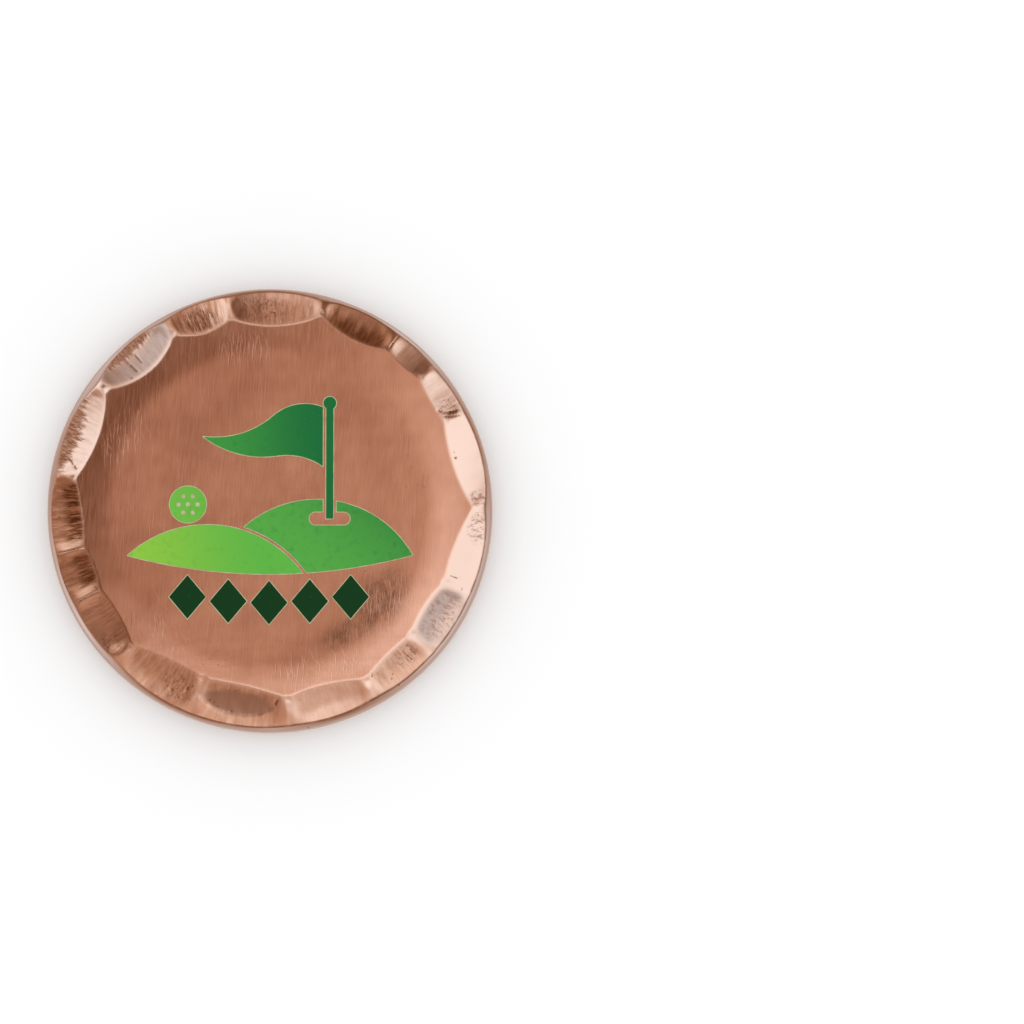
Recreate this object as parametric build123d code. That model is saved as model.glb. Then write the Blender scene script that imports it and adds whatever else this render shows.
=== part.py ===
from build123d import *
import math
import os

# A golf ball marker: one solid copper disc, hammered all round the rim of its face, polished
# flat on its back, with an emblem printed on the face. The print is a white underbase film
# with green ink films on it. Millimetres, +Z up and the printed face on top. The origin is
# the centre of the back, the face that the marker rests on.

# ---- The copper blank ----
INCH = 25.4
DIAMETER = 1.25 * INCH
THICKNESS = 0.125 * INCH
RADIUS = DIAMETER / 2
BACK_ROUND = 0.50           # rounding between the back and the side
ROLL_HEIGHT = 1.6           # the top of the side rolls inwards over this height
ROLL_WIDTH = 1.1
SEAM_ANGLE = 63.0           # degrees, so that the seam line crosses no ridge between marks

# ---- The hammer marks ----
HAMMER_CURVE = 12.5         # radius of a mark's hollow, along a line from the centre
HAMMER_HALF_LENGTH = 6.5    # half of the struck tool's length along the rim

# One row per mark, anticlockwise from +X. A mark runs from its own ridge to the next row's.
# The columns are the ridge's angle in degrees, the radius at which that ridge comes out of
# the flat field, the smallest radius that the mark reaches, both as fractions of RADIUS, and
# the slope in degrees at which the mark leaves the field.
HAMMER_MARKS = [
    (0.0, 0.922, 0.850, 17.0),
    (26.0, 0.882, 0.872, 16.0),
    (41.0, 0.900, 0.882, 18.0),
    (53.5, 0.895, 0.855, 18.5),
    (75.0, 0.910, 0.830, 16.5),
    (101.5, 0.880, 0.848, 18.0),
    (118.8, 0.900, 0.826, 15.5),
    (143.8, 0.918, 0.836, 16.0),
    (171.0, 0.885, 0.838, 19.0),
    (191.5, 0.850, 0.831, 17.5),
    (205.5, 0.845, 0.828, 16.5),
    (224.7, 0.875, 0.806, 16.0),
    (249.0, 0.820, 0.806, 17.5),
    (275.7, 0.862, 0.834, 16.0),
    (299.7, 0.890, 0.847, 17.0),
    (318.5, 0.858, 0.832, 15.5),
    (337.0, 0.862, 0.845, 16.5),
]

# ---- The printed emblem: a flag on a green, over a row of diamonds ----
FILM = 0.03                 # thickness of the underbase, and of the ink on it
UNDERBASE_MARGIN = 0.06     # the underbase shows this far outside the ink
INK_GAP = 0.25              # bare copper between neighbouring shapes

GROUND_HALF_WIDTH = 10.0    # the lower edge of the hills is one wide arc
GROUND_END_Y = -3.4
GROUND_MIDDLE_Y = -4.7

FRONT_HILL_CENTRE = (-4.4, -9.6)
FRONT_HILL_RADIUS = 8.4
REAR_HILL_CENTRE = (3.4, -7.2)
REAR_HILL_RADIUS = 7.8

STICK_X = 4.3
STICK_WIDTH = 0.5
STICK_FOOT_Y = -0.75
STICK_TOP_Y = 7.5
KNOB_RADIUS = 0.45
CUP_WIDTH = 3.0
CUP_HEIGHT = 1.0

PENNANT_HOIST_TOP_Y = 7.2
PENNANT_HOIST_FOOT_Y = 3.0
PENNANT_TIP = (-4.7, 5.1)
PENNANT_TOP_WAVE = [(2.0, 7.4), (0.3, 6.6)]      # a point on the first wave, and its end
PENNANT_FOOT_WAVE = [(2.2, 3.7), (0.6, 3.75)]

BALL_RADIUS = 1.3
BALL_ANGLE = 98.0           # where the ball stands on the front hill's arc, in degrees
DIMPLE_RADIUS = 0.17
DIMPLE_RING = 0.68
DIMPLE_COUNT = 6

DIAMOND_COUNT = 5
DIAMOND_PITCH = 2.9
DIAMOND_HALF_WIDTH = 1.3
DIAMOND_HALF_HEIGHT = 1.55
DIAMOND_DROP = 2.05         # from the hills' lower edge to the diamonds' middle


def polar(radius, degrees):
    """The point at this distance and direction from the centre, in the plane of the face."""
    angle = math.radians(degrees)
    return Vector(radius * math.cos(angle), radius * math.sin(angle))


def copper_disc():
    """The blank before it is struck: rounded at its back, with its side rolled in at the top."""
    roll_centre = (RADIUS - ROLL_WIDTH, THICKNESS - ROLL_HEIGHT)
    back_round = CenterArc((RADIUS - BACK_ROUND, BACK_ROUND), BACK_ROUND, -90, 90)
    side_roll = EllipticalCenterArc(roll_centre, ROLL_WIDTH, ROLL_HEIGHT, start_angle=0, arc_size=90)
    section = [
        Line((0, 0), back_round @ 0),
        back_round,
        Line(back_round @ 1, side_roll @ 0),
        side_roll,
        Polyline(side_roll @ 1, (0, THICKNESS), (0, 0)),
    ]
    disc = revolve(Plane.XZ * make_face(section), Axis.Z)
    return Rot(0, 0, SEAM_ANGLE) * disc


def hammer_tool(ridge, next_ridge, reach, slope):
    """The barrel that one mark is the print of, lying across the rim.

    It cuts the field through both ridge ends and reaches in to `reach` between them.
    """
    chord = next_ridge - ridge
    half_chord = chord.length / 2
    middle = (ridge + next_ridge) / 2
    along = chord.normalized()
    outward = Vector(along.Y, -along.X)
    bulge = middle.dot(outward) - reach

    # The hollow's depth at the chord sets how much thinner the barrel is at the ridges.
    run = HAMMER_CURVE * math.sin(slope)
    rise = HAMMER_CURVE * math.cos(slope)
    depth_at_chord = math.sqrt(HAMMER_CURVE**2 - (run - bulge) ** 2) - rise
    crown = (half_chord**2 + depth_at_chord**2) / (2 * depth_at_chord)

    end_drop = crown - math.sqrt(crown**2 - HAMMER_HALF_LENGTH**2)
    end_radius = HAMMER_CURVE - end_drop
    profile = Polyline(
        (HAMMER_HALF_LENGTH, end_radius),
        (HAMMER_HALF_LENGTH, 0),
        (-HAMMER_HALF_LENGTH, 0),
        (-HAMMER_HALF_LENGTH, end_radius),
    ) + ThreePointArc(
        (-HAMMER_HALF_LENGTH, end_radius),
        (0, HAMMER_CURVE),
        (HAMMER_HALF_LENGTH, end_radius),
    )
    barrel = revolve(make_face(profile), Axis.X)

    axis_middle = middle + outward * (run - bulge)
    place = Plane(
        origin=(axis_middle.X, axis_middle.Y, THICKNESS + rise),
        x_dir=(along.X, along.Y, 0),
        z_dir=(0, 0, 1),
    )
    return place * barrel


def hammer_tools():
    """One barrel for each hammer mark, in order round the rim."""
    tools = []
    for index, (angle, ridge_radius, reach, slope) in enumerate(HAMMER_MARKS):
        next_angle, next_ridge_radius = HAMMER_MARKS[(index + 1) % len(HAMMER_MARKS)][:2]
        ridge = polar(ridge_radius * RADIUS, angle)
        next_ridge = polar(next_ridge_radius * RADIUS, next_angle)
        tools.append(hammer_tool(ridge, next_ridge, reach * RADIUS, math.radians(slope)))
    return tools


def copper_blank():
    """The struck disc."""
    return copper_disc() - hammer_tools()


def circle_at(centre, radius):
    """A round face in the plane of the print."""
    return Pos(*centre) * Circle(radius)


def ground_arc():
    """Centre and radius of the wide arc along the lower edge of the hills."""
    sagitta = GROUND_END_Y - GROUND_MIDDLE_Y
    radius = (GROUND_HALF_WIDTH**2 + sagitta**2) / (2 * sagitta)
    return (0, GROUND_MIDDLE_Y + radius), radius


def flagstick():
    """The stick with its knob."""
    stick_height = STICK_TOP_Y - STICK_FOOT_Y
    stick = Pos(STICK_X, STICK_FOOT_Y + stick_height / 2) * Rectangle(STICK_WIDTH, stick_height)
    return stick + circle_at((STICK_X, STICK_TOP_Y), KNOB_RADIUS)


def pennant():
    """The flag, flying in two waves from the stick to its tip."""
    hoist_x = STICK_X - STICK_WIDTH / 2 - INK_GAP
    hoist_top = (hoist_x, PENNANT_HOIST_TOP_Y)
    hoist_foot = (hoist_x, PENNANT_HOIST_FOOT_Y)
    top_wave = ThreePointArc(hoist_top, *PENNANT_TOP_WAVE)
    foot_wave = ThreePointArc(hoist_foot, *PENNANT_FOOT_WAVE)
    outline = [
        Line(hoist_foot, hoist_top),
        top_wave,
        TangentArc(top_wave @ 1, PENNANT_TIP, tangent=top_wave % 1),
        foot_wave,
        TangentArc(foot_wave @ 1, PENNANT_TIP, tangent=foot_wave % 1),
    ]
    return make_face(outline)


def front_hill():
    """The near hill, on the left."""
    return circle_at(FRONT_HILL_CENTRE, FRONT_HILL_RADIUS) & circle_at(*ground_arc())


def rear_hill():
    """The far hill, cut back from the near one, with the cup in it and room for the stick."""
    hill = circle_at(REAR_HILL_CENTRE, REAR_HILL_RADIUS) & circle_at(*ground_arc())
    hill -= circle_at(FRONT_HILL_CENTRE, FRONT_HILL_RADIUS + INK_GAP)
    hill -= Pos(STICK_X, STICK_FOOT_Y) * SlotOverall(CUP_WIDTH, CUP_HEIGHT)
    slot_height = STICK_TOP_Y - STICK_FOOT_Y
    slot = Pos(STICK_X, STICK_FOOT_Y + slot_height / 2)
    return hill - slot * Rectangle(STICK_WIDTH + 2 * INK_GAP, slot_height)


def ball():
    """The ball on the near hill, with a ring of dimples left open."""
    stand_off = FRONT_HILL_RADIUS + INK_GAP + BALL_RADIUS
    centre = Vector(*FRONT_HILL_CENTRE) + polar(stand_off, BALL_ANGLE)
    face = circle_at((centre.X, centre.Y), BALL_RADIUS) - circle_at((centre.X, centre.Y), DIMPLE_RADIUS)
    for number in range(DIMPLE_COUNT):
        dimple = centre + polar(DIMPLE_RING, number * 360 / DIMPLE_COUNT)
        face -= circle_at((dimple.X, dimple.Y), DIMPLE_RADIUS)
    return face


def diamond_row():
    """The row of diamonds, which follows the lower edge of the hills."""
    (_, arc_y), arc_radius = ground_arc()
    row_radius = arc_radius + DIAMOND_DROP
    row = Sketch()
    for number in range(DIAMOND_COUNT):
        x = (number - (DIAMOND_COUNT - 1) / 2) * DIAMOND_PITCH
        y = arc_y - math.sqrt(row_radius**2 - x**2)
        corners = [
            (x + DIAMOND_HALF_WIDTH, y),
            (x, y + DIAMOND_HALF_HEIGHT),
            (x - DIAMOND_HALF_WIDTH, y),
            (x, y - DIAMOND_HALF_HEIGHT),
        ]
        row += make_face(Polyline(*corners, close=True))
    return row


def film(outline, height):
    """A film of ink or underbase with this outline, starting at this height."""
    return extrude(Pos(0, 0, height) * outline, FILM)


def outer_outlines(shape):
    """The faces of a printed shape with its openings filled."""
    return [Face(face.outer_wire()) for face in shape.faces()]


def underbase(shapes):
    """The white film under the ink, a little wider than the ink all round."""
    spread = Sketch()
    for shape in shapes:
        for face in outer_outlines(shape):
            spread += offset(face, UNDERBASE_MARGIN)
    return film(spread, THICKNESS)


def emblem():
    """Each printed shape's face, by the name of its film."""
    return {
        "flagstick_ink": flagstick(),
        "pennant_ink": pennant(),
        "front_hill_ink": front_hill(),
        "rear_hill_ink": rear_hill(),
        "ball_ink": ball(),
        "diamond_row_ink": diamond_row(),
    }


def main():
    os.makedirs("parts", exist_ok=True)
    shapes = emblem()
    parts = {name: film(shape, THICKNESS + FILM) for name, shape in shapes.items()}
    parts["print_underbase"] = underbase(shapes.values())
    parts["copper_blank"] = copper_blank()
    for name, part in parts.items():
        export_step(part, f"parts/{name}.step")


main()
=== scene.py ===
import math

import bpy
import numpy as np
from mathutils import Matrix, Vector


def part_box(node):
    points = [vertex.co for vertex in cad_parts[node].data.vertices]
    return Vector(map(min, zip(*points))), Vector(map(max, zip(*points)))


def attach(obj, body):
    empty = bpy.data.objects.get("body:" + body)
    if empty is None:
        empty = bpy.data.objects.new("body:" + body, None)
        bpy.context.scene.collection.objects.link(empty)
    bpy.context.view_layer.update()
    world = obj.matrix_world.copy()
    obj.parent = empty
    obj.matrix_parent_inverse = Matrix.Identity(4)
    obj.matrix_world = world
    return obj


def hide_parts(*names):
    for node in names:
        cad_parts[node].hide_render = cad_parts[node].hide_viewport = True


# The looks of a copper golf ball marker: a struck copper disc with a hammered rim, and a
# green emblem printed on its face. Metres throughout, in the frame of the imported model.

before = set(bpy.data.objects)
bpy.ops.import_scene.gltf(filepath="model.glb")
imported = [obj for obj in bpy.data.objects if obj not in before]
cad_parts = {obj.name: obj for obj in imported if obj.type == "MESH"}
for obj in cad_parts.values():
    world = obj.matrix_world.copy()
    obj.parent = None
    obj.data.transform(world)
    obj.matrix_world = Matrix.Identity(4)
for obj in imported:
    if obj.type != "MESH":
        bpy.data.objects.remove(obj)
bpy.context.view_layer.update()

MM = 0.001

# ---- The blank's sizes, from the frame ----
BLANK_LOW, BLANK_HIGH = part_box("copper_blank")
RADIUS = (BLANK_HIGH.x - BLANK_LOW.x) / 2
FACE_Z = BLANK_HIGH.z
BACK_ROUND = 0.50 * MM
ROLL_HEIGHT = 2.0 * MM
ROLL_WIDTH = 1.25 * MM
LEFT_ROLL_WIDTH = 1.55 * MM     # how wide the roll is worn at the disc's left edge
ROLL_START = 0.90 * MM          # how far in from the side the roll's own rings begin

# ---- The hammer marks ----
HAMMER_CURVE = 16.0 * MM    # radius of a mark's hollow, flatter than in the design
# The ridge's angle in degrees, the radius where that ridge leaves the field, the mark's
# smallest radius, both as fractions of RADIUS, and its slope where it leaves the field. The
# design has the same marks.
HAMMER_MARKS = [
    (0.0, 0.922, 0.850, 17.0),
    (26.0, 0.882, 0.872, 16.0),
    (41.0, 0.900, 0.882, 18.0),
    (53.5, 0.895, 0.855, 18.5),
    (75.0, 0.910, 0.830, 16.5),
    (101.5, 0.880, 0.848, 18.0),
    (118.8, 0.900, 0.826, 15.5),
    (143.8, 0.918, 0.836, 16.0),
    (171.0, 0.885, 0.838, 19.0),
    (191.5, 0.850, 0.831, 17.5),
    (205.5, 0.845, 0.828, 16.5),
    (224.7, 0.875, 0.806, 16.0),
    (249.0, 0.820, 0.806, 17.5),
    (275.7, 0.862, 0.834, 16.0),
    (299.7, 0.890, 0.847, 17.0),
    (318.5, 0.858, 0.832, 15.5),
    (337.0, 0.862, 0.845, 16.5),
]

# How each mark looks, in the same order, each from 0 to 1: how free of tarnish and how pale its
# copper is, which is partly real tarnish and partly painted highlight (pale) and painted shade
# (dark); how grey the inner part of its floor is; how strongly the hammer dragged it; how strong
# the painted highlight along its inner edge is; and how broadly the ridge at its start is
# rounded, which also widens the painted highlight on that ridge.
MARK_LOOKS = [
    (1.00, 0.00, 0.00, 0.3, 0.0),
    (0.88, 0.08, 0.10, 0.2, 0.0),
    (0.75, 0.10, 0.15, 0.0, 0.1),
    (0.08, 0.00, 0.40, 0.1, 0.0),
    (0.70, 0.00, 0.55, 0.4, 0.3),
    (0.64, 0.05, 0.80, 0.6, 0.2),
    (0.85, 0.80, 0.30, 1.0, 0.6),
    (0.95, 0.10, 0.30, 1.0, 0.9),
    (0.00, 0.00, 0.80, 0.3, 0.2),
    (0.05, 0.00, 0.70, 0.3, 0.0),
    (0.64, 0.00, 0.40, 0.0, 0.0),
    (0.62, 0.00, 0.35, 0.3, 0.1),
    (0.55, 0.10, 0.25, 0.5, 0.8),
    (0.72, 0.00, 0.10, 0.2, 0.5),
    (0.60, 0.05, 0.25, 0.6, 0.6),
    (0.90, 0.85, 0.12, 1.0, 0.9),
    (1.00, 0.05, 0.05, 0.9, 0.9),
]

# Where the hammer tore the outer part of a mark, and where dull tarnish sits in one: the
# middle's angle and radius, then the half sizes, in degrees and fractions of RADIUS.
TORN_PATCHES = [
    (131.8, 0.985, 10.5, 0.058),
    (160.0, 1.000, 13.0, 0.105),
    (110.5, 0.900, 4.5, 0.075),
]
DULL_PATCHES = [
    (260.5, 0.885, 12.0, 0.062),
]
# Where the copper is mottled with dark tarnish.
MOTTLED_PATCHES = [
    (2.5, 0.935, 3.5, 0.050),
    (29.5, 0.925, 4.5, 0.065),
    (328.0, 0.905, 10.0, 0.090),
    (355.0, 0.935, 6.0, 0.055),
    (93.0, 0.900, 11.0, 0.070),
    (243.5, 0.890, 7.5, 0.095),
    (313.0, 0.900, 5.5, 0.060),
    (220.5, 0.925, 4.0, 0.060),
]
# Where the field is scratched by handling, and where it is stained.
SCRATCHED_PATCHES = [
    (98.0, 0.73, 16.0, 0.120),
    (153.0, 0.73, 20.0, 0.120),
    (231.0, 0.76, 20.0, 0.110),
    (287.0, 0.76, 24.0, 0.130),
    (318.0, 0.68, 22.0, 0.150),
]
STAINED_PATCHES = [
    (319.0, 0.645, 22.0, 0.150),
    (301.0, 0.655, 17.0, 0.085),
]

# Pits and cracks: the angle and radius of both ends, the half width in millimetres.
CRACKS = [
    (15.2, 0.866, 15.3, 0.866, 0.11),
    (17.0, 0.866, 17.0, 0.866, 0.07),
    (28.0, 0.940, 28.3, 0.912, 0.13),
    (29.9, 0.879, 30.1, 0.878, 0.10),
    (26.2, 0.955, 28.0, 0.885, 0.045),
    (53.6, 0.975, 53.4, 0.905, 0.045),
    (88.6, 0.885, 89.0, 0.886, 0.11),
    (131.0, 0.925, 131.2, 0.870, 0.05),
    (134.1, 0.940, 134.0, 0.858, 0.07),
    (159.6, 0.905, 159.8, 0.858, 0.04),
    (165.8, 0.930, 168.6, 0.880, 0.08),
    (191.9, 0.965, 192.0, 0.850, 0.045),
    (206.0, 0.965, 206.1, 0.845, 0.04),
    (241.6, 0.922, 241.7, 0.920, 0.09),
    (245.6, 0.900, 245.8, 0.880, 0.09),
    (259.3, 0.925, 259.4, 0.923, 0.08),
    (272.0, 0.880, 272.4, 0.868, 0.16),
    (301.5, 0.884, 301.6, 0.882, 0.13),
    (313.2, 0.930, 313.0, 0.880, 0.06),
    (315.1, 0.925, 315.2, 0.870, 0.08),
    (336.8, 0.938, 337.3, 0.936, 0.10),
    (339.6, 0.900, 339.5, 0.868, 0.07),
]

# ---- Mesh density ----
RIM_SEGMENTS = 1024
# The rings of the face: the first radius, the end, the spacing, all in millimetres, and the
# segments of each ring.
FACE_ZONES = [
    (0.35, 1.5, 0.35, 64),
    (1.6, 3.1, 0.30, 128),
    (3.3, 6.3, 0.30, 256),
    (6.5, 12.2, 0.25, 512),
    (12.3, 14.93, 0.085, RIM_SEGMENTS),
]
# The rings of the back: their radii in millimetres and the segments of each.
BACK_ZONES = [
    ((15.1, 14.7, 14.2, 13.6, 12.9, 12.0), 512),
    ((11.0, 9.8, 8.4, 7.0), 256),
    ((5.6, 4.2), 128),
    ((2.8, 1.4), 64),
]

# ---- How the hammered copper flows ----
FIELD_SEEDS = (11, 12)      # of the random relief: the field's broad and narrow waves,
GRAIN_SEED = 21             # the grain that the hammer drags
BEATEN_SEED = 22            # and the uneven floors of the marks
FIELD_WAVE = 0.0020 * MM    # how high the field's gentle waves are
FIELD_SINK = 0.005 * MM     # how far below the design's face they lie
SHOULDER_DROP = 0.15 * MM   # how far the field has sunk by the rim
SHOULDER_START = 0.70       # where that begins and ends, as fractions of RADIUS
SHOULDER_END = 0.94
STRIKE_SINK = 0.035 * MM    # how much deeper the marks are than their ideal shape
BANK_HEIGHT = 0.13 * MM     # the bank that a blow raises at each end of its mark
BANK_WIDTH = 0.75 * MM
BANK_SHARE = 0.75           # how much of a mark's depth its banks may fill
GRAIN_WAVES = 36            # how many waves the dragged grain is made of
GRAIN_HEIGHT = 0.0030 * MM  # and how high they are
BEATEN_HEIGHT = 0.005 * MM  # how uneven the floor of a mark is
DULL_SINK = 0.03 * MM       # how much deeper the copper is in dull and in torn patches
TORN_SINK = 0.02 * MM
CRACK_DEPTH = 0.02 * MM
RIDGE_BLEND = 0.022 * MM    # how far the creases between two marks are rounded
FIELD_BLEND = 0.010 * MM    # and those between a mark and the field
SIDE_BLEND = 0.018 * MM     # and those between the face and the side
NO_MARK = 1.0               # a height far above the disc
TINY = 1e-12


def smoothstep(low, high, value):
    """0 below low, 1 above high, and a smooth step between them."""
    t = np.clip((value - low) / (high - low), 0.0, 1.0)
    return t * t * (3 - 2 * t)


def soft_lowest(heights, blend):
    """The lowest of several heights, with the creases between them rounded."""
    lowest = np.min(heights, axis=0)
    total = np.exp(-(heights - lowest) / blend).sum(axis=0)
    return lowest - blend * np.log(total)


def waves(x, y, wavelength, seed, count=40):
    """Smooth random relief of about unit height with this wavelength, the same every run."""
    random = np.random.default_rng(seed)
    result = np.zeros_like(x)
    for _ in range(count):
        direction = random.uniform(0, 2 * math.pi)
        phase = random.uniform(0, 2 * math.pi)
        length = wavelength * random.uniform(0.7, 1.6)
        turn = 2 * math.pi / length
        result += np.cos(turn * (x * math.cos(direction) + y * math.sin(direction)) + phase)
    return result * math.sqrt(2 / count)


class Strike:
    """One blow of the hammer: the barrel-shaped hollow between two points of the rim."""

    def __init__(self, start_angle, start_radius, end_angle, end_radius, reach, slope):
        start = self.rim_point(start_angle, start_radius)
        end = self.rim_point(end_angle, end_radius)
        chord = end - start
        self.along = chord / np.linalg.norm(chord)
        self.outward = np.array([self.along[1], -self.along[0]])
        self.middle = (start + end) / 2
        half_chord = np.linalg.norm(chord) / 2
        bulge = self.middle @ self.outward - reach * RADIUS
        run = HAMMER_CURVE * math.sin(math.radians(slope))
        self.rise = HAMMER_CURVE * math.cos(math.radians(slope))
        depth = math.sqrt(HAMMER_CURVE**2 - (run - bulge) ** 2) - self.rise
        self.crown = (half_chord**2 + depth**2) / (2 * depth)
        self.axis_distance = reach * RADIUS + run
        self.half_chord = half_chord

    @staticmethod
    def rim_point(angle, radius):
        turn = math.radians(angle)
        return np.array([math.cos(turn), math.sin(turn)]) * radius * RADIUS

    def height(self, x, y):
        """The hollow's height over each point, and NO_MARK where it isn't."""
        along = (x - self.middle[0]) * self.along[0] + (y - self.middle[1]) * self.along[1]
        outward = x * self.outward[0] + y * self.outward[1] - self.axis_distance
        near = (np.abs(along) < 2.0 * self.half_chord) & (outward > -0.45 * HAMMER_CURVE)
        along = np.where(near, along, 0.0)
        outward = np.where(near, outward, 0.0)
        hollow = HAMMER_CURVE - self.crown + np.sqrt(self.crown**2 - along**2)
        floor = FACE_Z + self.rise - np.sqrt(hollow**2 - outward**2)
        inland = smoothstep(0.985 * RADIUS, 0.90 * RADIUS, np.hypot(x, y))
        bank = BANK_HEIGHT * inland * self.up_the_bank(along) ** 1.5
        room = BANK_SHARE * np.maximum(FACE_Z - floor, TINY)
        return np.where(near, floor + bank * room / (bank + room), NO_MARK)

    def up_the_bank(self, along):
        """How far up the bank at either end of the mark each point is, from 0 to 1 and beyond."""
        foot = self.half_chord - BANK_WIDTH
        return np.clip((np.abs(along) - foot) / BANK_WIDTH, 0.0, 1.4)

    def bank_share(self, x, y):
        """0 on the floor of the mark, rising to 1 on its banks."""
        along = (x - self.middle[0]) * self.along[0] + (y - self.middle[1]) * self.along[1]
        return smoothstep(0.15, 0.65, self.up_the_bank(along))


def make_strikes():
    """The strike of each hammer mark."""
    strikes = []
    for index, (angle, ridge_radius, reach, slope) in enumerate(HAMMER_MARKS):
        next_angle, next_radius = HAMMER_MARKS[(index + 1) % len(HAMMER_MARKS)][:2]
        strikes.append(Strike(angle, ridge_radius, next_angle, next_radius, reach, slope))
    return strikes


STRIKES = make_strikes()


def shoulder(radius):
    """How far the copper has sunk at each radius, towards the rim."""
    return SHOULDER_DROP * smoothstep(SHOULDER_START, SHOULDER_END, radius / RADIUS)


def unevenness(x, y):
    """The very gentle waviness of the field."""
    broad = waves(x, y, 4.5 * MM, FIELD_SEEDS[0])
    narrow = waves(x, y, 1.6 * MM, FIELD_SEEDS[1])
    return FIELD_WAVE * (broad + 0.35 * narrow) - FIELD_SINK


def patch(x, y, patches):
    """1 at the middle of each elliptical patch near the rim, 0 at its edge, negative outside."""
    angle = np.degrees(np.arctan2(y, x)) % 360
    radius = np.hypot(x, y) / RADIUS
    best = np.full_like(x, -9.0)
    for middle, middle_radius, half_angle, half_radius in patches:
        across = (angle - middle) / half_angle
        outwards = (radius - middle_radius) / half_radius
        best = np.maximum(best, 1 - np.hypot(across, outwards))
    return best


def ridge_wear_and_highlight(x, y):
    """1 along the top of a broadly rounded ridge, falling off smoothly to 0: it rounds the ridge
    and sets its painted highlight.
    """
    angle = np.degrees(np.arctan2(y, x))
    radius = np.hypot(x, y)
    result = np.zeros_like(x)
    for (ridge_angle, *_), (*_, breadth) in zip(HAMMER_MARKS, MARK_LOOKS):
        turn = np.radians((angle - ridge_angle + 180) % 360 - 180)
        half_width = (0.10 + 0.26 * breadth) * MM
        result = np.maximum(result, breadth * np.exp(-((turn * radius / half_width) ** 2)))
    return result


def cracks(x, y):
    """1 along each crack and pit, falling off smoothly to 0."""
    result = np.zeros_like(x)
    for start_angle, start_radius, end_angle, end_radius, half_width in CRACKS:
        start = Strike.rim_point(start_angle, start_radius)
        line = Strike.rim_point(end_angle, end_radius) - start
        offset_x, offset_y = x - start[0], y - start[1]
        share = (offset_x * line[0] + offset_y * line[1]) / max(line @ line, TINY)
        share = np.clip(share, 0.0, 1.0)
        distance = np.hypot(offset_x - share * line[0], offset_y - share * line[1])
        result = np.maximum(result, np.exp(-((distance / (half_width * MM)) ** 2)))
    return result


def side_height(x, radius):
    """The rolled top of the side, as a height over each point."""
    at_left = smoothstep(-8 * MM, -13 * MM, x)
    width = ROLL_WIDTH + (LEFT_ROLL_WIDTH - ROLL_WIDTH) * at_left
    inset = np.clip((radius - (RADIUS - width)) / width, 0.0, 1.0)
    roll = FACE_Z - ROLL_HEIGHT + ROLL_HEIGHT * np.sqrt(1 - inset**2)
    return np.where(inset > 0, roll, NO_MARK)


def radial_grain(x, y, seed):
    """Fine relief drawn out along the radius, as the hammer drags it."""
    radius = np.hypot(x, y)
    angle = np.arctan2(y, x)
    random = np.random.default_rng(seed)
    result = np.zeros_like(x)
    for _ in range(GRAIN_WAVES):
        turns = random.integers(60, 260)
        drift = random.uniform(-0.25, 0.25) / MM
        result += np.cos(turns * angle + drift * radius + random.uniform(0, 2 * math.pi))
    return result * math.sqrt(2 / GRAIN_WAVES)


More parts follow.
